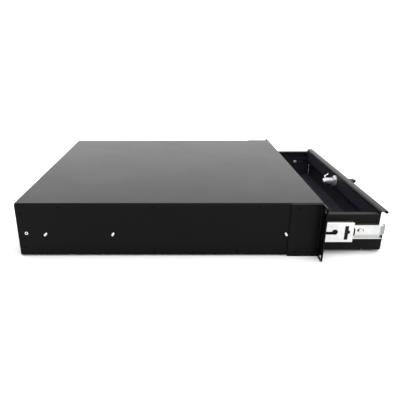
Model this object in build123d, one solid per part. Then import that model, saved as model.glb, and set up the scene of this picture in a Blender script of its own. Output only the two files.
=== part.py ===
from build123d import *
import os

# A two-unit, 19-inch rack drawer: a black steel case with rack ears, a drawer on two
# three-section ball-bearing slides, and a cam lock with its key in the drawer front.
#
# Millimetres. The origin is the middle of the four rack holes, on the front plane of the ears.
# +X is to the right seen from the front, +Y runs to the rear, +Z is up.
# The drawer is modelled 104.8 mm open, and every piece that rides with it is placed there.

# ---- driving dimensions -------------------------------------------------------------------

# Rack standard
EAR_HEIGHT = 88.1
EAR_SPAN = 482.6
RACK_HOLE_X = 465.1
RACK_HOLE_Z = 76.2
RACK_SLOT_LENGTH = 10.0
RACK_SLOT_RADIUS = 3.4

# Case
CASE_WIDTH = 437.6
CASE_DEPTH = 470.0
CASE_BOTTOM = -43.0
CASE_TOP = 44.4
SHEET = 1.2
FLANGE = 12.0
COVER_BEND = 2.4
BOTTOM_BEND = 1.8

# Rack ears
EAR_SHEET = 2.0
EAR_DEPTH = 49.4
EAR_BEND = 3.0
EAR_CORNER = 4.0

# Drawer travel
REST_OPENING = 104.8
FULL_TRAVEL = 400.0

# Slides: thickness and height of the nested members, measured across the slide
SLIDE_THICKNESS = 12.7
SLIDE_Z = -6.0
STUD_Z = -6.5
CABINET_HEIGHT = 43.4
CABINET_SHEET = 1.2
CABINET_LENGTH = 450.0
CABINET_FRONT = 2.0
BALL_RADIUS = 1.93
BALL_GAP = 3.9
INTERMEDIATE_HEIGHT = CABINET_HEIGHT - 2 * (CABINET_SHEET + BALL_GAP)
INTERMEDIATE_SHEET = 1.1
INTERMEDIATE_LENGTH = 440.0
INTERMEDIATE_OFFSET = 2.3
MEMBER_HEIGHT = INTERMEDIATE_HEIGHT - 2 * (INTERMEDIATE_SHEET + BALL_GAP)
MEMBER_SHEET = 1.2
MEMBER_LENGTH = 434.0
TONGUE_LENGTH = 6.2
TONGUE_HEIGHT = 20.0
TONGUE_Z = -4.6
CAGE_LENGTH = 220.0
CAGE_START = FULL_TRAVEL / 4 + 10.0
CAGE_SHEET = 1.0
CAGE_WIDTH = 5.6
BALLS_PER_ROW = 8
WINDOW_Y = -41.4
WINDOW_Z = -6.2
KEYHOLE_Y = -23.4
KEYHOLE_Z = -4.9
BUMPER_NOSE = 2.4
BUMPER_HEIGHT = 13.0
LEVER_PIVOT_Y = -8.0
MEMBER_SLOT = (10.4, 4.4)

# Drawer
DRAWER_WIDTH = CASE_WIDTH - 2 * (SHEET + SLIDE_THICKNESS)
DRAWER_BOTTOM = -41.2
DRAWER_WALL_TOP = 20.4
DRAWER_REAR = 335.0
WALL_FLANGE = 11.0
LIP_TOP = 24.5
LIP_FRONT = -106.4
LIP_DROP = 2.0
LIP_RETURN = 2.9
LIP_BEND = 2.6
RECESS_Y = -96.5
PROUD_Y = -104.5
STEP_LOW = -13.0
STEP_HIGH = -1.0

# Lock
LOCK_Z = 9.2
BARREL_RADIUS = 6.5
PLUG_RADIUS = 5.0
PLUG_GAP = 0.03
CAM_Y = -76.5
CAM_SHEET = 1.8
CAM_LENGTH = 17.5
CAM_JOGGLE = 8.0
CAM_REST_ANGLE = 57.0
KEY_REST_ANGLE = 95.0
KEY_BLADE_WIDTH = 7.6
KEY_BLADE_SHEET = 1.9
KEY_DEPTH = 16.0
KEY_BOW_FRONT = -136.6
KEY_BOW_REAR = -107.5
KEY_BOW_WIDTH = 21.0
KEY_BOW_THICKNESS = 5.2

# Fasteners: head radius, head height, shank radius
COVER_SCREW = (2.9, 1.2, 1.5)
SLIDE_SCREW = (3.4, 2.4, 2.0)
STUD_HEAD = (6.8, 3.7)
STUD_HEIGHT = 1.8
RIVET = (2.6, 1.0, 1.6)

# ---- derived places -----------------------------------------------------------------------

HALF = CASE_WIDTH / 2
INNER = HALF - SHEET
DRAWER_HALF = DRAWER_WIDTH / 2
DRAWER_INNER = DRAWER_HALF - SHEET
PANEL_HALF = DRAWER_INNER - 0.1
PLUG_FACE = RECESS_Y - 2.0
CASE_CEILING = CASE_TOP - SHEET
HEADER_BOTTOM = LIP_TOP + 1.7
STRIKE_Y = 17.4
STRIKE_BOTTOM = 22.0

COVER_SCREW_Y = (98.0, 259.0, 403.0)
COVER_SCREW_Z = 38.9
BOTTOM_SCREW_Y = (127.7, 258.9, 390.0)
BOTTOM_SCREW_Z = -36.0
EAR_SCREWS = ((8.4, 39.0), (37.5, 36.4), (8.4, -36.0), (37.5, -36.4))
REAR_SCREW_Z = (28.0, -28.0)
REAR_SCREW_Y = 462.5
REAR_FLANGE_FRONT = 456.0
CORNER_RELIEF = (3.0, 455.0)
REAR_NUT_Y = 456.8
REAR_NUT_Z = -4.9
REAR_NUT_RADIUS = 2.6
REAR_NUT_BORE = 1.25
REAR_NUT_SLEEVE = (4.0, 8.0)
CASE_STUDS = ((53.2, 60.0), (322.2, 120.0), (427.0, 135.0))
DRAWER_SLIDE_SCREW_Y = (-67.0, 125.0, 300.0)
FRONT_RIVET_Z = (10.0, -3.5)
FRONT_RIVET_Y = -90.5
BACK_RIVET_Z = (10.0, -26.0)

# How far the members are out at rest, towards the front
INTERMEDIATE_SHIFT = REST_OPENING / 2
OUTER_CAGE_SHIFT = REST_OPENING / 4
INNER_CAGE_SHIFT = REST_OPENING * 3 / 4


# ---- helpers ------------------------------------------------------------------------------


def block(x, y, z):
    """A box from three (low, high) spans."""
    size = [high - low for low, high in (x, y, z)]
    middle = [(high + low) / 2 for low, high in (x, y, z)]
    return Pos(*middle) * Box(*size)


def rod(radius, x, y, z, axis):
    """A cylinder whose span along the given axis is a (low, high) pair."""
    spans = {"x": x, "y": y, "z": z}
    low, high = spans[axis]
    centre = [(low + high) / 2 if name == axis else spans[name] for name in "xyz"]
    turn = {"x": Rot(0, 90, 0), "y": Rot(90, 0, 0), "z": Rot(0, 0, 0)}[axis]
    return Pos(*centre) * turn * Cylinder(radius, high - low)


def folded(points, thickness, bend, side=Side.LEFT):
    """The closed section of a sheet that is folded along a line of points."""
    line = FilletPolyline(*points, radius=bend)
    return make_face(line.offset_2d(thickness, side=side))


def along_z(section, low, high):
    """A section drawn in X and Y, drawn out along Z."""
    return Pos(0, 0, low) * extrude(section, high - low)


def along_y(section, low, high):
    """A section drawn in X and Z, drawn out along Y."""
    return Plane.XZ.offset(-high) * extrude(section, high - low)


def along_x(section, low, high):
    """A section drawn in Y and Z, drawn out along X."""
    return Plane.YZ.offset(low) * extrude(section, high - low)


def mirrored(shape):
    return mirror(shape, about=Plane.YZ)


def both_sides(shape):
    return [shape, mirrored(shape)]


def cross_recess(depth, span, width=0.8):
    """The tool that cuts a cross-head driver recess, opening towards +Z at Z=0."""
    arm = Pos(0, 0, -depth / 2) * Box(span, width, depth)
    return arm + Rot(0, 0, 90) * arm


def countersunk_screw(size, length):
    """A flush screw along -Z from its head's flat top at Z=0."""
    head_radius, head_height, shank_radius = size
    head = Pos(0, 0, -head_height / 2) * Cone(shank_radius, head_radius, head_height)
    shank = Pos(0, 0, -length / 2) * Cylinder(shank_radius, length)
    return head + shank - cross_recess(0.8, 2.6)


def countersunk_hole(size, length):
    """The space that a countersunk screw fills, a little larger all round."""
    head_radius, head_height, shank_radius = size
    gap = 0.05
    sink = Pos(0, 0, (gap - head_height) / 2)
    sink *= Cone(shank_radius + gap, head_radius + 2 * gap, head_height + gap)
    return sink + Pos(0, 0, -length / 2) * Cylinder(shank_radius + gap, length + 2)


def pan_screw(size, length):
    """A raised pan-head screw along -Z: the head stands above Z=0."""
    head_radius, head_height, shank_radius = size
    head = Pos(0, 0, head_height / 2) * Cylinder(head_radius, head_height)
    head = fillet(head.edges().group_by(Axis.Z)[-1], head_height * 0.55)
    shank = Pos(0, 0, -length / 2) * Cylinder(shank_radius, length)
    return head + shank - Pos(0, 0, head_height) * cross_recess(1.3, 3.6)


def dome_rivet(size, grip, tail_radius):
    """A rivet along -Z: domed head above Z=0, upset tail below the grip, or none if flush."""
    head_radius, head_height, shank_radius = size
    head = Pos(0, 0, head_height / 2) * Cylinder(head_radius, head_height)
    head = fillet(head.edges().group_by(Axis.Z)[-1], head_height * 0.7)
    shank = Pos(0, 0, -grip / 2) * Cylinder(shank_radius, grip)
    if tail_radius:
        shank += Pos(0, 0, -grip - 0.6) * Cylinder(tail_radius, 1.2)
    return head + shank


def outward(x, y, z):
    """Places a piece drawn along Z so that its top faces -X, at the left side."""
    return Pos(x, y, z) * Rot(0, -90, 0)


def inward(x, y, z):
    """Places a piece drawn along Z so that its top faces +X, at the left side."""
    return Pos(x, y, z) * Rot(0, 90, 0)


def save(name, *solids):
    """Writes one sub-part: a single solid, or a group of separate ones."""
    shapes = [solid for shape in solids for solid in shape.solids()]
    shape = shapes[0] if len(shapes) == 1 else Compound(children=shapes)
    shape.label = name
    export_step(shape, f"parts/{name}.step")


# ---- case ---------------------------------------------------------------------------------


def side_panel():
    """The left side panel: a flat sheet outside the other panels' flanges."""
    height = (CASE_BOTTOM + BOTTOM_BEND - 0.4, CASE_TOP - COVER_BEND + 0.8)
    panel = block((-HALF, -INNER), (0, CASE_DEPTH), height)
    panel = fillet(panel.edges().filter_by(Axis.X), 1.0)
    for y in COVER_SCREW_Y:
        panel -= outward(-HALF, y, COVER_SCREW_Z) * countersunk_hole(COVER_SCREW, 4)
    for y in BOTTOM_SCREW_Y:
        panel -= outward(-HALF, y, BOTTOM_SCREW_Z) * countersunk_hole(COVER_SCREW, 4)
    for z in REAR_SCREW_Z:
        panel -= outward(-HALF, REAR_SCREW_Y, z) * countersunk_hole(COVER_SCREW, 4)
    for y, z in EAR_SCREWS:
        panel -= rod(COVER_SCREW[2] + 0.05, (-HALF - 1, -INNER + 1), y, z, "x")
    for y, _ in CASE_STUDS:
        panel -= rod(SLIDE_SCREW[2] + 0.05, (-HALF - 1, -INNER + 1), y, STUD_Z, "x")
    seat = REAR_NUT_RADIUS + 0.02
    panel -= rod(seat, (-HALF - 1, -INNER + 1), REAR_NUT_Y, REAR_NUT_Z, "x")
    return panel


def screw_line(positions, z):
    """Clearance for the screws that hold a side flange, on both sides."""
    holes = []
    for y in positions:
        hole = rod(COVER_SCREW[2] + 0.02, (-INNER - 1, -INNER + SHEET + 1), y, z, "x")
        holes += both_sides(hole)
    return holes


def top_cover():
    """The cover: a flat sheet with its sides rolled down inside the side panels."""
    points = (
        (-INNER, CASE_TOP - FLANGE),
        (-INNER, CASE_TOP),
        (INNER, CASE_TOP),
        (INNER, CASE_TOP - FLANGE),
    )
    flanged = along_y(folded(points, SHEET, COVER_BEND, Side.RIGHT), 0, CASE_DEPTH)
    for low, high in ((-1, CORNER_RELIEF[0]), (CORNER_RELIEF[1], CASE_DEPTH + 1)):
        relief = block((-INNER, INNER), (low, high), (CASE_TOP - FLANGE - 1, CASE_CEILING - 1.3))
        flanged -= relief
    for hole in screw_line(COVER_SCREW_Y, COVER_SCREW_Z):
        flanged -= hole
    return flanged


def bottom_panel():
    """The floor of the case, with its sides turned up inside the side panels."""
    points = (
        (-INNER, CASE_BOTTOM + FLANGE),
        (-INNER, CASE_BOTTOM),
        (INNER, CASE_BOTTOM),
        (INNER, CASE_BOTTOM + FLANGE),
    )
    floor = along_y(folded(points, SHEET, BOTTOM_BEND, Side.LEFT), 0, CASE_DEPTH)
    relief_top = (CASE_BOTTOM + SHEET + 0.7, CASE_BOTTOM + FLANGE + 1)
    for low, high in ((-1, CORNER_RELIEF[0]), (CORNER_RELIEF[1], CASE_DEPTH + 1)):
        floor -= block((-INNER, INNER), (low, high), relief_top)
    for hole in screw_line(BOTTOM_SCREW_Y, BOTTOM_SCREW_Z):
        floor -= hole
    return floor


def rear_panel():
    """The rear wall, with side flanges that the side panels are screwed to."""
    rear = CASE_DEPTH
    front = REAR_FLANGE_FRONT
    points = ((-INNER, front), (-INNER, rear), (INNER, rear), (INNER, front))
    low = CASE_BOTTOM + SHEET + 0.8
    high = CASE_CEILING - 1.4
    panel = along_z(folded(points, SHEET, BOTTOM_BEND, Side.RIGHT), low, high)
    half = INNER - COVER_BEND - 0.2
    panel += block((-half, half), (rear - SHEET, rear), (CASE_BOTTOM + SHEET, CASE_CEILING))
    for z in REAR_SCREW_Z:
        hole = rod(COVER_SCREW[2] + 0.02, (-INNER - 1, -INNER + 2), REAR_SCREW_Y, z, "x")
        for cut in both_sides(hole):
            panel -= cut
    seat = REAR_NUT_RADIUS + 0.02
    for cut in both_sides(rod(seat, (-INNER - 1, -INNER + 2), REAR_NUT_Y, REAR_NUT_Z, "x")):
        panel -= cut
    return panel


def front_header():
    """The bar across the top of the drawer opening, with the strike plate for the cam."""
    points = (
        (STRIKE_Y + SHEET, HEADER_BOTTOM + 9.0),
        (STRIKE_Y + SHEET, HEADER_BOTTOM),
        (0.0, HEADER_BOTTOM),
        (0.0, CASE_CEILING),
        (10.0, CASE_CEILING),
    )
    half = INNER - COVER_BEND - 0.2
    header = along_x(folded(points, SHEET, BOTTOM_BEND, Side.RIGHT), -half, half)
    strike_y = (STRIKE_Y, STRIKE_Y + SHEET)
    return header + block((-14.0, 14.0), strike_y, (STRIKE_BOTTOM, HEADER_BOTTOM + 6.0))


def rack_ear():
    """The left ear: an L-shaped bracket with two slotted rack holes."""
    points = ((-EAR_SPAN / 2, 0.0), (-HALF, 0.0), (-HALF, EAR_DEPTH))
    section = folded(points, EAR_SHEET, EAR_BEND, Side.LEFT)
    half_height = EAR_HEIGHT / 2
    ear = along_z(section, -half_height, half_height)
    flange_corners = ear.edges().filter_by(Axis.Y).group_by(Axis.X)[0]
    ear = fillet(flange_corners, EAR_CORNER)
    plate_corners = ear.edges().filter_by(Axis.X).group_by(Axis.Y)[-1]
    ear = fillet(plate_corners, 2.0)
    slot = SlotOverall(RACK_SLOT_LENGTH, 2 * RACK_SLOT_RADIUS)
    for z in (-RACK_HOLE_Z / 2, RACK_HOLE_Z / 2):
        cutter = along_y(Pos(-RACK_HOLE_X / 2, z) * slot, -1, EAR_SHEET + 1)
        ear -= cutter
    for y, z in EAR_SCREWS:
        ear -= outward(-HALF - EAR_SHEET, y, z) * countersunk_hole(COVER_SCREW, 5)
    return ear


def case_fasteners():
    """Groups of identical fasteners on both sides of the case."""
    cover = [outward(-HALF, y, COVER_SCREW_Z) * countersunk_screw(COVER_SCREW, 4.0)
             for y in COVER_SCREW_Y]
    bottom = [outward(-HALF, y, BOTTOM_SCREW_Z) * countersunk_screw(COVER_SCREW, 4.0)
              for y in BOTTOM_SCREW_Y]
    rear = [outward(-HALF, REAR_SCREW_Y, z) * countersunk_screw(COVER_SCREW, 4.0)
            for z in REAR_SCREW_Z]
    ears = [outward(-HALF - EAR_SHEET, y, z) * countersunk_screw(COVER_SCREW, 3.2)
            for y, z in EAR_SCREWS]
    slides = [slide_stud(y, angle) for y, angle in CASE_STUDS]
    groups = {
        "cover_screws": cover,
        "bottom_screws": bottom,
        "rear_panel_screws": rear,
        "ear_screws": ears,
        "slide_case_studs": slides,
    }
    for name, pieces in groups.items():
        save(name, *pieces, *[mirrored(piece) for piece in pieces])


def slide_stud(y, angle):
    """A stud that holds a cabinet member: an oblong head outside, a shank through both."""
    outline = Pos(y, STUD_Z) * Rot(0, 0, angle) * SlotOverall(*STUD_HEAD)
    head = along_x(outline, -HALF - STUD_HEIGHT, -HALF)
    head = fillet(head.edges().group_by(Axis.X)[0], STUD_HEIGHT * 0.6)
    return head + rod(SLIDE_SCREW[2], (-HALF, slide_x(CABINET_SHEET)), y, STUD_Z, "x")


def rear_support_nut():
    """A flush clinch nut in the side panel, open to the outside."""
    body = rod(REAR_NUT_RADIUS, (-HALF, -INNER + SHEET), REAR_NUT_Y, REAR_NUT_Z, "x")
    radius, depth = REAR_NUT_SLEEVE
    sleeve = rod(radius, (-INNER + SHEET, -INNER + depth), REAR_NUT_Y, REAR_NUT_Z, "x")
    bore = rod(REAR_NUT_BORE, (-HALF - 1, -INNER + depth + 1), REAR_NUT_Y, REAR_NUT_Z, "x")
    return body + sleeve - bore


# ---- slides (drawn at the left side; local x runs from the case wall to the drawer) ---------


def slide_x(depth):
    """The X of a point at this depth in the left slide."""
    return -INNER + depth


def channel(near, far, height, thickness, opens_inward):
    """A C-shaped member's section: its web is on the case side if it opens inward."""
    top = SLIDE_Z + height / 2
    bottom = SLIDE_Z - height / 2
    web, tip = (near, far) if opens_inward else (far, near)
    points = (
        (slide_x(tip), top),
        (slide_x(web), top),
        (slide_x(web), bottom),
        (slide_x(tip), bottom),
    )
    side = Side.LEFT if opens_inward else Side.RIGHT
    return folded(points, thickness, thickness + 0.4, side)


def cabinet_member():
    """The outer member, screwed to the side panel."""
    section = channel(0.0, 10.4, CABINET_HEIGHT, CABINET_SHEET, True)
    rear = CABINET_FRONT + CABINET_LENGTH
    member = along_y(section, CABINET_FRONT, rear)
    for y, _ in CASE_STUDS:
        member -= rod(SLIDE_SCREW[2] + 0.02, (slide_x(-1), slide_x(2)), y, STUD_Z, "x")
    for y in (120.0, 215.0):
        slot = along_x(Pos(y, SLIDE_Z) * SlotOverall(14, 5), slide_x(-1), slide_x(2))
        member -= slot
    return member


def window():
    """The T-shaped window in the intermediate member, its stem towards the front."""
    bar = Pos(WINDOW_Y, WINDOW_Z) * RectangleRounded(5.6, 23.4, 1.0)
    stem = Pos(WINDOW_Y - 2.6, WINDOW_Z + 1.2) * RectangleRounded(6.0, 5.8, 2.4)
    return bar + stem


def intermediate_member():
    """The middle member, with its T-shaped window and keyhole slot."""
    section = channel(
        INTERMEDIATE_OFFSET, 10.4, INTERMEDIATE_HEIGHT, INTERMEDIATE_SHEET, True
    )
    front = -INTERMEDIATE_SHIFT
    member = along_y(section, front, front + INTERMEDIATE_LENGTH)
    round_end = Pos(KEYHOLE_Y, KEYHOLE_Z) * Circle(4.5)
    bar = Pos(KEYHOLE_Y + 30, KEYHOLE_Z - 1.7) * RectangleRounded(60, 4.9, 2.0)
    rear_slot = Pos(300, SLIDE_Z) * SlotOverall(16, 6)
    for opening in (window(), round_end + bar, rear_slot):
        member -= along_x(opening, slide_x(0), slide_x(4.0))
    return member


def drawer_member():
    """The inner member, fixed to the drawer wall, with a rounded tongue at its front."""
    near = 4.7
    section = channel(near, SLIDE_THICKNESS, MEMBER_HEIGHT, MEMBER_SHEET, False)
    front = RECESS_Y - 2.3
    member = along_y(section, front, front + MEMBER_LENGTH)
    tongue = Pos(front - TONGUE_LENGTH / 2 + 2.0, TONGUE_Z)
    tongue *= RectangleRounded(TONGUE_LENGTH + 4.0, TONGUE_HEIGHT, 3.9)
    web = (slide_x(SLIDE_THICKNESS - MEMBER_SHEET), slide_x(SLIDE_THICKNESS))
    member += along_x(tongue, *web)
    for y in DRAWER_SLIDE_SCREW_Y:
        slot = Pos(y, SLIDE_Z) * SlotOverall(*MEMBER_SLOT)
        member -= along_x(slot, web[0] - 1, web[1] + 1)
    pivot = rod(2.0, (web[0] - 1, web[1] + 1), LEVER_PIVOT_Y, SLIDE_Z, "x")
    return member - pivot


def cage(start, row_height):
    """Two retainer strips and their balls, at one row above and one below the middle."""
    strips = []
    balls = []
    pitch = CAGE_LENGTH / BALLS_PER_ROW
    middle = slide_x(INTERMEDIATE_OFFSET + INTERMEDIATE_SHEET + 3.6)
    for sign in (-1, 1):
        z = SLIDE_Z + sign * row_height
        strip = block(
            (middle - CAGE_WIDTH / 2, middle + CAGE_WIDTH / 2),
            (start, start + CAGE_LENGTH),
            (z - CAGE_SHEET / 2, z + CAGE_SHEET / 2),
        )
        for index in range(BALLS_PER_ROW):
            y = start + pitch * (index + 0.5)
            strip -= Pos(middle, y, z) * Cylinder(BALL_RADIUS + 0.05, CAGE_SHEET + 1)
            balls.append(Pos(middle, y, z) * Sphere(BALL_RADIUS))
        strips.append(strip)
    return strips, balls


def bumper_clip():
    """The clip that fills the intermediate member's window; its nose is the end bumper."""
    gap = 0.15
    depth = slide_x(4.2)
    outline = offset(window(), -gap)
    clip = along_x(outline, slide_x(INTERMEDIATE_OFFSET - 0.1), depth)
    inside = slide_x(INTERMEDIATE_OFFSET + INTERMEDIATE_SHEET)
    clip += block(
        (inside, depth), (WINDOW_Y - 7.0, WINDOW_Y + 4.4), (WINDOW_Z - 12.6, WINDOW_Z + 12.6)
    )
    front = -INTERMEDIATE_SHIFT - BUMPER_NOSE
    nose = Pos(front + 4.0, WINDOW_Z + 1.7) * RectangleRounded(8.0, BUMPER_HEIGHT, 2.6)
    clip += along_x(nose, inside, depth)
    face = nose & Pos(front + BUMPER_NOSE / 2 - gap / 2, SLIDE_Z) * Rectangle(BUMPER_NOSE - gap, 30)
    return clip + along_x(face, slide_x(INTERMEDIATE_OFFSET - 0.1), depth)


def rear_stop():
    """The rubber stop at the rear end of the cabinet member."""
    rear = CABINET_FRONT + CABINET_LENGTH
    stop = block(
        (slide_x(CABINET_SHEET), slide_x(9.4)),
        (rear - 9.0, rear - 1.0),
        (SLIDE_Z - 8.0, SLIDE_Z + 8.0),
    )
    return fillet(stop.edges().filter_by(Axis.X), 2.5)


def release_lever():
    """The plastic lever in the drawer member's channel, which frees it from the slide."""
    arm = Pos(LEVER_PIVOT_Y - 7.0, SLIDE_Z) * SlotOverall(30.0, 8.0)
    tail = Pos(LEVER_PIVOT_Y + 16.0, SLIDE_Z) * SlotOverall(36.0, 5.0)
    head = Pos(LEVER_PIVOT_Y - 16.0, SLIDE_Z + 0.6) * Circle(6.0)
    web_face = SLIDE_THICKNESS - MEMBER_SHEET
    lever = along_x(arm + tail + head, slide_x(5.2), slide_x(web_face - 0.3))
    pivot = rod(1.95, (slide_x(web_face - 1.0), slide_x(SLIDE_THICKNESS - 0.1)),
                LEVER_PIVOT_Y, SLIDE_Z, "x")
    return lever + pivot


def slide_set(name, place):
    """Writes one slide's pieces; place puts the left-hand geometry on its side."""
    outer_row = (CABINET_HEIGHT + INTERMEDIATE_HEIGHT) / 4 - CABINET_SHEET / 2
    inner_row = (INTERMEDIATE_HEIGHT + MEMBER_HEIGHT) / 4 - INTERMEDIATE_SHEET / 2
    outer_cage, outer_balls = cage(CAGE_START - OUTER_CAGE_SHIFT, outer_row)
    inner_cage, inner_balls = cage(CAGE_START - INNER_CAGE_SHIFT, inner_row)
    pieces = {
        "cabinet_member": [cabinet_member()],
        "intermediate_member": [intermediate_member()],
        "drawer_member": [drawer_member()],
        "outer_ball_cage": outer_cage,
        "outer_balls": outer_balls,
        "inner_ball_cage": inner_cage,
        "inner_balls": inner_balls,
        "bumper_clip": [bumper_clip()],
        "rear_stop": [rear_stop()],
        "release_lever": [release_lever()],
    }
    for piece, solids in pieces.items():
        save(f"{name}_{piece}", *[place(solid) for solid in solids])


# ---- drawer -------------------------------------------------------------------------------


def drawer_tray():
    """Floor and side walls in one folded sheet, the walls' tops turned inward."""
    points = (
        (-DRAWER_HALF + WALL_FLANGE, DRAWER_WALL_TOP),
        (-DRAWER_HALF, DRAWER_WALL_TOP),
        (-DRAWER_HALF, DRAWER_BOTTOM),
        (DRAWER_HALF, DRAWER_BOTTOM),
        (DRAWER_HALF, DRAWER_WALL_TOP),
        (DRAWER_HALF - WALL_FLANGE, DRAWER_WALL_TOP),
    )
    section = folded(points, SHEET, 1.8, Side.LEFT)
    tray = along_y(section, PROUD_Y + SHEET, DRAWER_REAR)
    beyond = PROUD_Y - 5
    wall_front = Polyline(
        (beyond, STEP_LOW - 0.3),
        (PROUD_Y + SHEET, STEP_LOW - 0.3),
        (RECESS_Y + SHEET, STEP_HIGH - 0.3),
        (RECESS_Y + SHEET, LIP_TOP + 5),
        (beyond, LIP_TOP + 5),
        close=True,
    )
    tray -= along_x(make_face(wall_front), -DRAWER_HALF - 1, DRAWER_HALF + 1)
    notch = rod(2.8, (-DRAWER_HALF - 1, DRAWER_HALF + 1), -74.0, DRAWER_BOTTOM - 0.6, "x")
    for low, high in ((-DRAWER_HALF - 1, -DRAWER_HALF + 4), (DRAWER_HALF - 4, DRAWER_HALF + 1)):
        tray -= notch & block((low, high), (-80, -68), (DRAWER_BOTTOM - 5, DRAWER_BOTTOM + 5))
    for y in DRAWER_SLIDE_SCREW_Y:
        hole = rod(SLIDE_SCREW[2] + 0.05, (-DRAWER_HALF - 1, -DRAWER_INNER + 1), y, SLIDE_Z, "x")
        for cut in both_sides(hole):
            tray -= cut
    for y, z in front_rivet_places() + back_rivet_places():
        hole = rod(RIVET[2] + 0.02, (-DRAWER_HALF - 1, -DRAWER_INNER + 1), y, z, "x")
        for cut in both_sides(hole):
            tray -= cut
    return tray


def front_rivet_places():
    """Where rivets join the drawer's front to its walls."""
    return [(FRONT_RIVET_Y, z) for z in FRONT_RIVET_Z]


def back_rivet_places():
    """Where rivets join the drawer's back to its walls."""
    return [(DRAWER_REAR - 7.0, z) for z in BACK_RIVET_Z]


def drawer_front():
    """The stepped front: proud lower face, recessed upper face and overhanging pull lip."""
    points = (
        (PROUD_Y + 14.0, DRAWER_BOTTOM + SHEET),
        (PROUD_Y, DRAWER_BOTTOM + SHEET),
        (PROUD_Y, STEP_LOW),
        (RECESS_Y, STEP_HIGH),
        (RECESS_Y, LIP_TOP),
        (LIP_FRONT, LIP_TOP),
        (LIP_FRONT, LIP_TOP - LIP_DROP),
        (LIP_FRONT + LIP_RETURN, LIP_TOP - LIP_DROP),
    )
    line = FilletPolyline(*points, radius=(1.8, 1.8, 1.8, LIP_BEND, 0.8, 0.8))
    section = make_face(line.offset_2d(SHEET, side=Side.RIGHT))
    front = along_x(section, -PANEL_HALF, PANEL_HALF)
    for side in (-1, 1):
        span = sorted((side * PANEL_HALF, side * (PANEL_HALF - SHEET)))
        front += block(span, (RECESS_Y + 0.6, RECESS_Y + 13.0), (STEP_HIGH - 8.0, 16.5))
        corner = sorted((side * (PANEL_HALF - 0.8), side * (PANEL_HALF + 1)))
        low = DRAWER_BOTTOM + SHEET
        front -= block(corner, (PROUD_Y - 1, PROUD_Y + 15), (low - 1, low + 0.8))
    front -= rod(BARREL_RADIUS + 0.1, 0, (RECESS_Y - 1, RECESS_Y + 2), LOCK_Z, "y")
    for z in FRONT_RIVET_Z:
        hole = rod(RIVET[2] + 0.02, (-DRAWER_HALF - 1, -DRAWER_HALF + 5), FRONT_RIVET_Y, z, "x")
        for cut in both_sides(hole):
            front -= cut
    return front


def drawer_back():
    """The rear wall of the drawer, with side returns riveted to the walls."""
    points = (
        (-PANEL_HALF, DRAWER_REAR - 14.0),
        (-PANEL_HALF, DRAWER_REAR),
        (PANEL_HALF, DRAWER_REAR),
        (PANEL_HALF, DRAWER_REAR - 14.0),
    )
    section = folded(points, SHEET, 1.8, Side.RIGHT)
    low = DRAWER_BOTTOM + SHEET + 0.6
    back = along_z(section, low, DRAWER_WALL_TOP - SHEET - 0.7)
    for z in BACK_RIVET_Z:
        hole = rod(RIVET[2] + 0.02, (-DRAWER_HALF - 1, -DRAWER_HALF + 5),
                   DRAWER_REAR - 7.0, z, "x")
        for cut in both_sides(hole):
            back -= cut
    return back


def drawer_fasteners():
    """Rivets at the drawer's corners, and the screws and nuts of the slide members."""
    grip = 2 * SHEET + 0.1
    rivets = [outward(-DRAWER_HALF, y, z) * dome_rivet(RIVET, grip, 2.4)
              for y, z in back_rivet_places()]
    rivets += [inward(-DRAWER_HALF + grip, y, z) * dome_rivet(RIVET, grip, 0)
               for y, z in front_rivet_places()]
    head_seat = slide_x(SLIDE_THICKNESS - MEMBER_SHEET)
    screws = []
    nuts = []
    for y in DRAWER_SLIDE_SCREW_Y:
        screws.append(outward(head_seat, y, SLIDE_Z) * pan_screw(SLIDE_SCREW, 7.2))
        nut = Pos(0, 0, -1.5) * extrude(RegularPolygon(3.7, 6), 3.0)
        nut = Pos(0, 0, -1.5) * nut - Cylinder(SLIDE_SCREW[2] + 0.03, 12)
        nuts.append(outward(-DRAWER_INNER, y, SLIDE_Z) * nut)
    groups = {
        "drawer_rivets": rivets,
        "drawer_slide_screws": screws,
        "drawer_slide_nuts": nuts,
    }
    for name, pieces in groups.items():
        save(name, *pieces, *[mirrored(piece) for piece in pieces])


# ---- lock (drawn about its own axis; turned to the rest angle where it turns) ---------------


def turned(shape, angle):
    """Turns a piece of the lock from its upright drawing to its rest angle."""
    axis = Pos(0, 0, LOCK_Z)
    return axis * Rot(0, angle, 0) * axis.inverse() * shape


def lock_body():
    """The lock's housing: a round bezel in front of the panel and a barrel behind it."""
    bezel = rod(9.5, 0, (RECESS_Y - 2.2, RECESS_Y), LOCK_Z, "y")
    bezel = fillet(bezel.edges().group_by(Axis.Y)[0], 1.2)
    barrel = rod(BARREL_RADIUS, 0, (RECESS_Y, CAM_Y - 1.5), LOCK_Z, "y")
    bore = rod(PLUG_RADIUS + PLUG_GAP, 0, (RECESS_Y - 5, CAM_Y + 5), LOCK_Z, "y")
    grooves = []
    for index in range(6):
        y = RECESS_Y + SHEET + 6.0 + 1.6 * index
        ring = rod(BARREL_RADIUS + 1, 0, (y, y + 0.7), LOCK_Z, "y")
        grooves.append(ring - rod(BARREL_RADIUS - 0.35, 0, (y, y + 0.7), LOCK_Z, "y"))
    body = bezel + barrel - bore
    for groove in grooves:
        body -= groove
    return body


def lock_nut():
    """The hexagon nut behind the panel."""
    outline = RegularPolygon(11.0, 6, rotation=30) - Circle(BARREL_RADIUS + 0.05)
    start = RECESS_Y + SHEET + 0.8
    blank = rod(11.0, 0, (start, start + 4.2), LOCK_Z, "y")
    blank = chamfer(blank.edges().group_by(Axis.Y)[-1], 0.9)
    return blank & along_y(Pos(0, LOCK_Z) * outline, start, start + 4.2)


def lock_washer():
    """The flat washer between nut and panel."""
    outline = Circle(11.6) - Circle(BARREL_RADIUS + 0.05)
    start = RECESS_Y + SHEET
    return along_y(Pos(0, LOCK_Z) * outline, start, start + 0.8)


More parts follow.
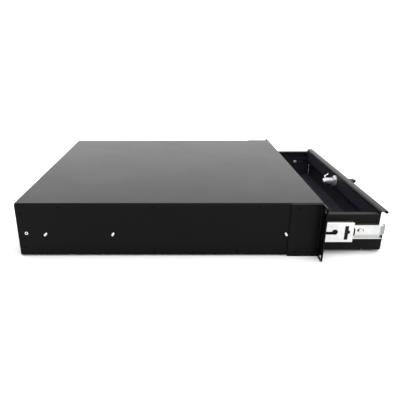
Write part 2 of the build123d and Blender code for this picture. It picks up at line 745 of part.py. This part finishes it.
def lock_plug():
    """The plug that the key turns: keyway in front, square tail behind."""
    plug = rod(PLUG_RADIUS, 0, (PLUG_FACE, CAM_Y), LOCK_Z, "y")
    tail = block((-2.9, 2.9), (CAM_Y, CAM_Y + CAM_SHEET), (LOCK_Z - 2.9, LOCK_Z + 2.9))
    half_width = KEY_BLADE_WIDTH / 2 + 0.1
    half_sheet = KEY_BLADE_SHEET / 2 + 0.1
    keyway = block(
        (-half_sheet, half_sheet),
        (PLUG_FACE - 1, PLUG_FACE + KEY_DEPTH + 0.5),
        (LOCK_Z - half_width, LOCK_Z + half_width),
    )
    thread = rod(1.52, 0, (CAM_Y - 4.0, CAM_Y + CAM_SHEET + 1), LOCK_Z, "y")
    return turned(plug - keyway, KEY_REST_ANGLE) + turned(tail, CAM_REST_ANGLE) - thread


def lock_cam():
    """The cam: a steel strip with a square hole, its tip joggled towards the front."""
    root = 10.0
    slope = 15.0
    points = (
        (CAM_Y, LOCK_Z - 7.0),
        (CAM_Y, LOCK_Z + root),
        (CAM_Y - CAM_JOGGLE, LOCK_Z + slope),
        (CAM_Y - CAM_JOGGLE, LOCK_Z + CAM_LENGTH),
    )
    section = folded(points, CAM_SHEET, 1.9, Side.RIGHT)
    strip = along_x(section, -7.0, 7.0)
    outline = Pos(0, LOCK_Z) * Circle(7.0)
    tip = Polyline((-4.6, 0), (-2.8, CAM_LENGTH), (2.8, CAM_LENGTH), (4.6, 0), close=True)
    outline += Pos(0, LOCK_Z) * make_face(tip)
    cam = strip & along_y(outline, CAM_Y - 12, CAM_Y + 5)
    hole = block((-2.95, 2.95), (CAM_Y - 1, CAM_Y + 3), (LOCK_Z - 2.95, LOCK_Z + 2.95))
    return turned(cam - hole, CAM_REST_ANGLE)


def cam_screw():
    """The flanged hexagon screw that holds the cam on the plug's tail."""
    head = Pos(0, 0, 0.8) * extrude(RegularPolygon(4.5, 6), 2.8)
    head = chamfer(head.edges().group_by(Axis.Z)[-1], 0.5)
    flange = Pos(0, 0, 0.4) * Cylinder(5.0, 0.8)
    screw = head + flange + Pos(0, 0, -2.5) * Cylinder(1.5, 5.0)
    place = Pos(0, CAM_Y + CAM_SHEET, LOCK_Z) * Rot(-90, 0, 0)
    return turned(place * screw, CAM_REST_ANGLE)


def key_blade():
    """The flat key in the keyway, with three notches along its edge."""
    tip = PLUG_FACE + KEY_DEPTH
    half = KEY_BLADE_WIDTH / 2
    blade = block(
        (-KEY_BLADE_SHEET / 2, KEY_BLADE_SHEET / 2),
        (KEY_BOW_REAR - 8.0, tip),
        (LOCK_Z - half, LOCK_Z + half),
    )
    blade = chamfer(blade.edges().filter_by(Axis.X).group_by(Axis.Y)[-1], 1.8)
    for index in range(3):
        y = PLUG_FACE + 4.0 + 3.4 * index
        depth = 0.8 + 0.5 * (index % 2)
        notch = Pos(0, y, LOCK_Z + half) * Rot(45, 0, 0) * Box(4, depth * 1.4, depth * 1.4)
        blade -= notch
    return turned(blade, KEY_REST_ANGLE)


def key_bow():
    """The moulded bow around the key's head, with a hole for a ring."""
    middle = (KEY_BOW_FRONT + KEY_BOW_REAR) / 2
    length = KEY_BOW_REAR - KEY_BOW_FRONT
    outline = Pos(middle, LOCK_Z) * RectangleRounded(length, KEY_BOW_WIDTH, 9.6)
    outline -= Pos(KEY_BOW_FRONT + 6.0, LOCK_Z) * Circle(2.6)
    bow = along_x(outline, -KEY_BOW_THICKNESS / 2, KEY_BOW_THICKNESS / 2)
    bow = chamfer(bow.faces().sort_by(Axis.X)[0].outer_wire().edges(), 1.1)
    bow = chamfer(bow.faces().sort_by(Axis.X)[-1].outer_wire().edges(), 1.1)
    half_sheet = KEY_BLADE_SHEET / 2
    half = KEY_BLADE_WIDTH / 2
    socket = block(
        (-half_sheet, half_sheet),
        (KEY_BOW_REAR - 8.0, KEY_BOW_REAR + 1),
        (LOCK_Z - half, LOCK_Z + half),
    )
    return turned(bow - socket, KEY_REST_ANGLE)


# ---- write every node ---------------------------------------------------------------------

os.makedirs("parts", exist_ok=True)

save("left_side_panel", side_panel())
save("right_side_panel", mirrored(side_panel()))
save("top_cover", top_cover())
save("bottom_panel", bottom_panel())
save("rear_panel", rear_panel())
save("front_header", front_header())
save("left_rack_ear", rack_ear())
save("right_rack_ear", mirrored(rack_ear()))
save("rear_support_nuts", *both_sides(rear_support_nut()))
case_fasteners()

slide_set("left", lambda solid: solid)
slide_set("right", mirrored)

save("drawer_tray", drawer_tray())
save("drawer_front", drawer_front())
save("drawer_back", drawer_back())
drawer_fasteners()

save("lock_body", lock_body())
save("lock_nut", lock_nut())
save("lock_washer", lock_washer())
save("lock_plug", lock_plug())
save("lock_cam", lock_cam())
save("cam_screw", cam_screw())
save("key_blade", key_blade())
save("key_bow", key_bow())
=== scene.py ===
import math

import bpy
from mathutils import Matrix, Vector


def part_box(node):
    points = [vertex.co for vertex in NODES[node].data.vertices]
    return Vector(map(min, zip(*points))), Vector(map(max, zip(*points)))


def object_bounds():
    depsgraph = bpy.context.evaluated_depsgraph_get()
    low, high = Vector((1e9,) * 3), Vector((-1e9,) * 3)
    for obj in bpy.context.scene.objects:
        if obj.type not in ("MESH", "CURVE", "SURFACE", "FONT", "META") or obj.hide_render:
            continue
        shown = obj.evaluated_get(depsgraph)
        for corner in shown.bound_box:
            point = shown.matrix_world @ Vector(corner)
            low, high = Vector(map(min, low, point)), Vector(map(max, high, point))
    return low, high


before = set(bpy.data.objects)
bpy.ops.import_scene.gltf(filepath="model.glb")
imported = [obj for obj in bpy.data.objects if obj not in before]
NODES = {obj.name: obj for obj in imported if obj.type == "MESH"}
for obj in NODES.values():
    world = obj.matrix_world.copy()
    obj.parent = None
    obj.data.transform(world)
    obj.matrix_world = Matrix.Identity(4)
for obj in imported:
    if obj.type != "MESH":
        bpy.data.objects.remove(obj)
CAD_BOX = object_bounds()
SIDES = ("left", "right")
MM = 0.001

# Half the drawer's sheet thickness: a boundary at this depth lies between a sheet's two faces
DRAWER_SKIN = 0.6 * MM
# Heights between which the drawer's front leans back from its lower, proud sheet to its upper one
FRONT_STEP = (-13.0 * MM, -1.0 * MM)
# The tip of each drawer member is painted darker, as painted shade on its front tip: how far behind
# the tip the shade ends, how far it fades in front of and behind that line, and the share of the
# plate's brightness that it keeps
SHADED_TIP_LENGTH = 6.5 * MM
SHADED_TIP_FADE = (1.2 * MM, 2.0 * MM)
SHADED_TIP_BRIGHTNESS = 0.48

# Most of a noise's values lie in this range
NOISE_RANGE = (0.3, 0.7)

# How the edges of the CAD pieces are rounded
WELD_DISTANCE = 0.002 * MM
EDGE_WIDTH = 0.12 * MM
EDGE_SEGMENTS = 2
EDGE_ANGLE = math.radians(32)
FACE_AREA_WEIGHT = 100

# Half the floor's width in metres, and the strength of the light from all round
FLOOR_HALF_WIDTH = 14.0
WORLD_STRENGTH = 1.4

# The camera's place; its heading, downward pitch and roll in degrees; its sensor's width and its
# focal length in millimetres; and its lens shift
CAMERA_PLACE = Vector((-808.95, 216.17, 272.12)) * MM
CAMERA_HEADING = -89.743
CAMERA_PITCH = 20.846
CAMERA_ROLL = -0.148
CAMERA_SENSOR = 36.0
CAMERA_LENS = 37.68
CAMERA_SHIFT = (0.0515, 0.0045)


# ---- node-tree helpers --------------------------------------------------------------------


def add(tree, kind, inputs=None, **settings):
    """Adds one shader node; an input is a plain value or another node's output."""
    item = tree.nodes.new(kind)
    for key, value in settings.items():
        setattr(item, key, value)
    for key, value in (inputs or {}).items():
        if isinstance(value, bpy.types.NodeSocket):
            tree.links.new(value, item.inputs[key])
        else:
            item.inputs[key].default_value = value
    return item


def start_material(name, roughness, metallic=0.0, specular=0.5):
    """An empty material: its tree, its shader and the piece's own coordinates."""
    material = bpy.data.materials.new(name)
    material.use_nodes = True
    tree = material.node_tree
    shader = tree.nodes["Principled BSDF"]
    shader.inputs["Roughness"].default_value = roughness
    shader.inputs["Metallic"].default_value = metallic
    shader.inputs["Specular IOR Level"].default_value = specular
    place = add(tree, "ShaderNodeTexCoord").outputs["Object"]
    return material, tree, shader, place


def calculate(tree, operation, first, second=0.0):
    """One maths node; an operation on a single value leaves the second out."""
    return add(tree, "ShaderNodeMath", {0: first, 1: second}, operation=operation).outputs[0]


def noise(tree, place, scale, detail=3.0, roughness=0.55, distortion=0.0):
    """A noise value at each place; a larger scale is finer."""
    inputs = {
        "Vector": place,
        "Scale": scale,
        "Detail": detail,
        "Roughness": roughness,
        "Distortion": distortion,
    }
    return add(tree, "ShaderNodeTexNoise", inputs).outputs["Fac"]


def stretched(tree, place, scale):
    """Coordinates scaled by axis, for brushed lines and scratches."""
    return add(tree, "ShaderNodeMapping", {"Vector": place, "Scale": scale}).outputs["Vector"]


def ramp(tree, factor, stops):
    """A colour ramp from (position, grey or colour) stops."""
    item = add(tree, "ShaderNodeValToRGB", {"Fac": factor})
    band = item.color_ramp
    while len(band.elements) < len(stops):
        band.elements.new(0.5)
    for element, (position, colour) in zip(band.elements, stops):
        element.position = position
        if isinstance(colour, (int, float)):
            colour = (colour, colour, colour)
        element.color = (*colour, 1.0)
    return item.outputs["Color"]


def mottled(tree, factor, dark, light):
    """A colour that follows a noise value from dark to light."""
    return ramp(tree, factor, tuple(zip(NOISE_RANGE, (dark, light))))


def remap(tree, value, source, target):
    """Maps a value from one (low, high) range to another, and stops at its ends."""
    inputs = {
        "Value": value,
        "From Min": source[0],
        "From Max": source[1],
        "To Min": target[0],
        "To Max": target[1],
    }
    return add(tree, "ShaderNodeMapRange", inputs).outputs["Result"]


def bump(tree, shader, layers):
    """Stacks (height, distance in metres, strength) layers into the shader's normal."""
    normal = None
    for height, distance, strength in layers:
        inputs = {"Height": height, "Distance": distance, "Strength": strength}
        if normal is not None:
            inputs["Normal"] = normal
        normal = add(tree, "ShaderNodeBump", inputs).outputs["Normal"]
    tree.links.new(normal, shader.inputs["Normal"])


# ---- materials ----------------------------------------------------------------------------


def inside_of_drawer(tree, place):
    """1 between the drawer's walls, over its floor and behind its front, 0 on their outer faces."""
    low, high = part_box("drawer_tray")
    proud_sheet = low[1] - DRAWER_SKIN
    recessed_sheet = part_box("lock_washer")[0][1] - DRAWER_SKIN
    axes = add(tree, "ShaderNodeSeparateXYZ", {"Vector": place}).outputs
    across = calculate(tree, "ABSOLUTE", axes["X"])
    front_sheet = remap(tree, axes["Z"], FRONT_STEP, (proud_sheet, recessed_sheet))
    conditions = (
        calculate(tree, "GREATER_THAN", axes["Z"], low[2] + DRAWER_SKIN),
        calculate(tree, "LESS_THAN", axes["Z"], high[2] - DRAWER_SKIN),
        calculate(tree, "GREATER_THAN", axes["Y"], front_sheet),
    )
    inside = calculate(tree, "LESS_THAN", across, high[0] - DRAWER_SKIN)
    for condition in conditions:
        inside = calculate(tree, "MULTIPLY", inside, condition)
    return inside


def powder_coat(name, dark, light, specular=0.088, inside=None):
    """Baked black powder coat: orange peel, fine grain and faint cloudiness.

    inside, where given, is the (dark, light) pair of the coat's lighter, bluer tone inside the
    drawer; its lightness is painted light that stands in for light falling into the drawer.
    """
    material, tree, shader, place = start_material(name, 0.42, specular=specular)
    cloud = noise(tree, place, 7.0, detail=4.0)
    grain = noise(tree, place, 1500.0, detail=2.0, roughness=0.7)
    peel = noise(tree, place, 320.0, detail=2.0)
    mixed = add(tree, "ShaderNodeMix", {0: 0.35, 2: cloud, 3: grain}, data_type="FLOAT")
    pattern = mixed.outputs[0]
    colour = mottled(tree, pattern, dark, light)
    # Inside the drawer the coat is painted lighter, as painted light filling the drawer, and bluer
    if inside is not None:
        layers = {0: inside_of_drawer(tree, place), 6: colour, 7: mottled(tree, pattern, *inside)}
        colour = add(tree, "ShaderNodeMix", layers, data_type="RGBA").outputs[2]
    tree.links.new(colour, shader.inputs["Base Color"])
    smudge = noise(tree, place, 14.0, detail=5.0, roughness=0.6, distortion=0.4)
    roughness = remap(tree, smudge, NOISE_RANGE, (0.405, 0.43))
    tree.links.new(roughness, shader.inputs["Roughness"])
    bump(tree, shader, ((peel, 0.06 * MM, 0.35), (grain, 0.02 * MM, 0.3)))
    return material


def zinc_plate(name, low, high, brushed=True, shaded_tip_end=None):
    """Bright zinc plate over steel, with long rolling lines or fine spangle and a faint tint.

    The last argument, where given, is the Y in front of which the plate is painted darker: painted
    shade on the drawer member's front tip.
    """
    material, tree, shader, place = start_material(name, 0.3, metallic=1.0)
    lines = noise(tree, stretched(tree, place, (900.0, 12.0, 900.0)), 1.0, detail=4.0)
    tint = noise(tree, place, 24.0, roughness=0.5, distortion=0.6)
    spangle = noise(tree, place, 650.0, detail=2.0)
    warm = (high, high * 0.985, high * 0.95)
    cool = (low * 0.97, low * 0.99, low)
    colour = ramp(tree, tint, ((0.35, cool), (0.5, high), (0.66, warm)))
    # Painted shade: in front of the given Y the plate's colour is scaled darker, towards the tip
    if shaded_tip_end is not None:
        along = add(tree, "ShaderNodeSeparateXYZ", {"Vector": place}).outputs["Y"]
        fade = (shaded_tip_end - SHADED_TIP_FADE[0], shaded_tip_end + SHADED_TIP_FADE[1])
        scaled = {0: colour, "Scale": remap(tree, along, fade, (SHADED_TIP_BRIGHTNESS, 1.0))}
        colour = add(tree, "ShaderNodeVectorMath", scaled, operation="SCALE").outputs["Vector"]
    tree.links.new(colour, shader.inputs["Base Color"])
    texture = lines if brushed else spangle
    roughness = remap(tree, texture, NOISE_RANGE, (0.24, 0.4))
    tree.links.new(roughness, shader.inputs["Roughness"])
    bump(tree, shader, ((texture, 0.02 * MM, 0.25), (spangle, 0.01 * MM, 0.2)))
    return material


def polished_plate(name, colour, roughness, metallic=1.0):
    """Polished plated metal with fine wear scratches; roughness is a (low, high) pair."""
    material, tree, shader, place = start_material(name, 0.15, metallic=metallic)
    scratch = noise(tree, stretched(tree, place, (2400.0, 2400.0, 160.0)), 1.0, detail=2.0)
    haze = noise(tree, place, 120.0)
    dark = tuple(0.9 * channel for channel in colour)
    tree.links.new(ramp(tree, haze, ((0.3, dark), (0.65, colour))), shader.inputs["Base Color"])
    tree.links.new(remap(tree, haze, NOISE_RANGE, roughness), shader.inputs["Roughness"])
    bump(tree, shader, ((scratch, 0.006 * MM, 0.3),))
    return material


def moulded_plastic(name, dark, light, grain_scale, roughness, specular=0.12):
    """Injection-moulded black plastic or rubber with an eroded grain."""
    material, tree, shader, place = start_material(name, roughness, specular=specular)
    flow = noise(tree, place, 40.0)
    grain = noise(tree, place, grain_scale, detail=2.0, roughness=0.6)
    tree.links.new(mottled(tree, flow, dark, light), shader.inputs["Base Color"])
    worn = remap(tree, grain, NOISE_RANGE, (roughness - 0.05, roughness + 0.08))
    tree.links.new(worn, shader.inputs["Roughness"])
    bump(tree, shader, ((grain, 0.03 * MM, 0.4),))
    return material


def pale_floor():
    """The studio floor: seamless pale paper."""
    material, tree, shader, place = start_material("studio_paper", 0.9, specular=0.1)
    fibre = noise(tree, place, 60.0)
    tree.links.new(mottled(tree, fibre, 0.74, 0.76), shader.inputs["Base Color"])
    return material


# The coat's lighter, bluer tone inside the drawer; its lightness is painted light standing in for
# light falling into the drawer
INSIDE_PAINTED_LIGHT = ((0.0172, 0.0158, 0.0225), (0.024, 0.0222, 0.031))
# Y in front of which the drawer members' tips are painted darker, as painted shade
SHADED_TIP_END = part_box("left_drawer_member")[0][1] + SHADED_TIP_LENGTH

CASE_BLACK = powder_coat("black_powder_coat", (0.0011, 0.0011, 0.0012), (0.002, 0.002, 0.0021))
DRAWER_BLACK = powder_coat(
    "black_powder_coat_drawer", (0.0054, 0.0052, 0.0056), (0.0076, 0.0073, 0.0078),
    specular=0.07, inside=INSIDE_PAINTED_LIGHT,
)
TRAY_BLACK = powder_coat(
    "black_powder_coat_tray", (0.009, 0.0087, 0.0093), (0.0113, 0.011, 0.0115),
    specular=0.018, inside=INSIDE_PAINTED_LIGHT,
)
ZINC = zinc_plate("bright_zinc_plate", 0.57, 0.65)
# The drawer members' zinc, with painted shade darkening their tips
MEMBER_ZINC = zinc_plate("bright_zinc_member", 0.57, 0.65, shaded_tip_end=SHADED_TIP_END)
SCREW_ZINC = zinc_plate("bright_zinc_screw", 0.66, 0.76, brushed=False)
# The nuts sit in shade; a light base colour and a low metallic value make them look bright: a
# painted glint
NUT_ZINC_PAINTED_GLINT = polished_plate("bright_zinc_nut_painted_glint", (0.78, 0.78, 0.77), (0.3, 0.42), metallic=0.3)
CAGE = zinc_plate("cage_strip", 0.5, 0.58)
BALL = polished_plate("ball_steel", (0.78, 0.78, 0.8), (0.06, 0.12))
CHROME = polished_plate("lock_chrome", (0.42, 0.42, 0.45), (0.3, 0.44), metallic=0.6)
PLUG_METAL = polished_plate("lock_plug_metal", (0.58, 0.56, 0.52), (0.2, 0.32))
CAM_STEEL = zinc_plate("cam_zinc", 0.5, 0.58, brushed=False)
KEY_METAL = polished_plate("key_nickel", (0.6, 0.59, 0.56), (0.22, 0.36))
OXIDE = powder_coat(
    "black_oxide", (0.0008, 0.0008, 0.0008), (0.0018, 0.0018, 0.0018), specular=0.07,
)
CLIP_PLASTIC = moulded_plastic(
    "black_clip_plastic", 0.003, 0.006, grain_scale=900.0, roughness=0.4,
)
KEY_PLASTIC = moulded_plastic(
    "black_key_plastic", 0.003, 0.006, grain_scale=700.0, roughness=0.5, specular=0.04,
)
RUBBER = moulded_plastic("black_rubber", 0.008, 0.014, grain_scale=500.0, roughness=0.7)

NODE_MATERIALS = {
    "left_side_panel": CASE_BLACK,
    "right_side_panel": CASE_BLACK,
    "top_cover": CASE_BLACK,
    "bottom_panel": CASE_BLACK,
    "rear_panel": CASE_BLACK,
    "front_header": CASE_BLACK,
    "left_rack_ear": CASE_BLACK,
    "right_rack_ear": CASE_BLACK,
    "drawer_tray": TRAY_BLACK,
    "drawer_front": DRAWER_BLACK,
    "drawer_back": DRAWER_BLACK,
    "cover_screws": OXIDE,
    "bottom_screws": OXIDE,
    "rear_panel_screws": OXIDE,
    "ear_screws": OXIDE,
    "drawer_rivets": OXIDE,
    "slide_case_studs": SCREW_ZINC,
    "drawer_slide_screws": SCREW_ZINC,
    "drawer_slide_nuts": NUT_ZINC_PAINTED_GLINT,
    "rear_support_nuts": SCREW_ZINC,
    "lock_body": CHROME,
    "lock_nut": CHROME,
    "lock_washer": CHROME,
    "lock_plug": PLUG_METAL,
    "lock_cam": CAM_STEEL,
    "cam_screw": SCREW_ZINC,
    "key_blade": KEY_METAL,
    "key_bow": KEY_PLASTIC,
}
for side in SIDES:
    NODE_MATERIALS |= {
        f"{side}_cabinet_member": ZINC,
        f"{side}_intermediate_member": ZINC,
        f"{side}_drawer_member": MEMBER_ZINC,
        f"{side}_outer_ball_cage": CAGE,
        f"{side}_inner_ball_cage": CAGE,
        f"{side}_outer_balls": BALL,
        f"{side}_inner_balls": BALL,
        f"{side}_bumper_clip": CLIP_PLASTIC,
        f"{side}_release_lever": CLIP_PLASTIC,
        f"{side}_rear_stop": RUBBER,
    }

# The balls are smooth all over, so they get no rounded edges
SMOOTH_NODES = {f"{side}_{row}_balls" for side in SIDES for row in ("outer", "inner")}


def dress(name, material):
    """Gives a CAD node its material, and a small edge radius that catches the light."""
    piece = NODES[name]
    piece.data.materials.clear()
    piece.data.materials.append(material)
    if name in SMOOTH_NODES:
        return
    weld = piece.modifiers.new("weld", "WELD")
    weld.merge_threshold = WELD_DISTANCE
    edge = piece.modifiers.new("edge", "BEVEL")
    edge.width = EDGE_WIDTH
    edge.segments = EDGE_SEGMENTS
    edge.limit_method = "ANGLE"
    edge.angle_limit = EDGE_ANGLE
    edge.use_clamp_overlap = False
    normals = piece.modifiers.new("normals", "WEIGHTED_NORMAL")
    normals.weight = FACE_AREA_WEIGHT


for node_name, node_material in NODE_MATERIALS.items():
    dress(node_name, node_material)


# ---- stage, light and camera --------------------------------------------------------------


def floor():
    """A wide paper floor under the lowest point of the object."""
    mesh = bpy.data.meshes.new("studio_floor")
    low = CAD_BOX[0][2]
    half = FLOOR_HALF_WIDTH
    corners = [(x, y, low) for x, y in ((-half, -half), (half, -half), (half, half), (-half, half))]
    mesh.from_pydata(corners, [], [(0, 1, 2, 3)])
    sheet = bpy.data.objects.new("studio_floor", mesh)
    mesh.materials.append(pale_floor())
    bpy.context.scene.collection.objects.link(sheet)


def softbox(name, place, target, size, watts):
    """A rectangular area light that faces a target."""
    data = bpy.data.lights.new(name, "AREA")
    data.shape = "RECTANGLE"
    data.size, data.size_y = size
    data.energy = watts
    lamp = bpy.data.objects.new(name, data)
    lamp.location = place
    direction = Vector(target) - Vector(place)
    lamp.rotation_euler = direction.to_track_quat("-Z", "Y").to_euler()
    bpy.context.scene.collection.objects.link(lamp)


def world_light(strength):
    """Even white light from all round."""
    world = bpy.data.worlds.new("studio")
    world.use_nodes = True
    background = world.node_tree.nodes["Background"]
    background.inputs["Color"].default_value = (1.0, 1.0, 1.0, 1.0)
    background.inputs["Strength"].default_value = strength
    bpy.context.scene.world = world


def camera():
    """The view from the left side, a little above, looking along +X."""
    heading = math.radians(CAMERA_HEADING)
    tilt = math.radians(90.0 - CAMERA_PITCH)
    roll = math.radians(CAMERA_ROLL)
    turn = Matrix.Rotation(heading, 4, "Z") @ Matrix.Rotation(tilt, 4, "X")
    data = bpy.data.cameras.new("camera")
    data.sensor_width = CAMERA_SENSOR
    data.lens = CAMERA_LENS
    data.shift_x, data.shift_y = CAMERA_SHIFT
    view = bpy.data.objects.new("camera", data)
    view.matrix_world = Matrix.Translation(CAMERA_PLACE) @ turn @ Matrix.Rotation(roll, 4, "Z")
    bpy.context.scene.collection.objects.link(view)
    bpy.context.scene.camera = view


floor()
world_light(WORLD_STRENGTH)
softbox("overhead", place=(-0.25, -0.1, 2.0), target=(0.0, 0.0, 0.0), size=(1.5, 1.5), watts=34.0)
softbox("far_side", place=(2.4, 0.2, 0.86), target=(0.0, 0.2, 0.0), size=(3.6, 1.5), watts=32.0)
camera()
bpy.context.scene.view_settings.view_transform = "Standard"
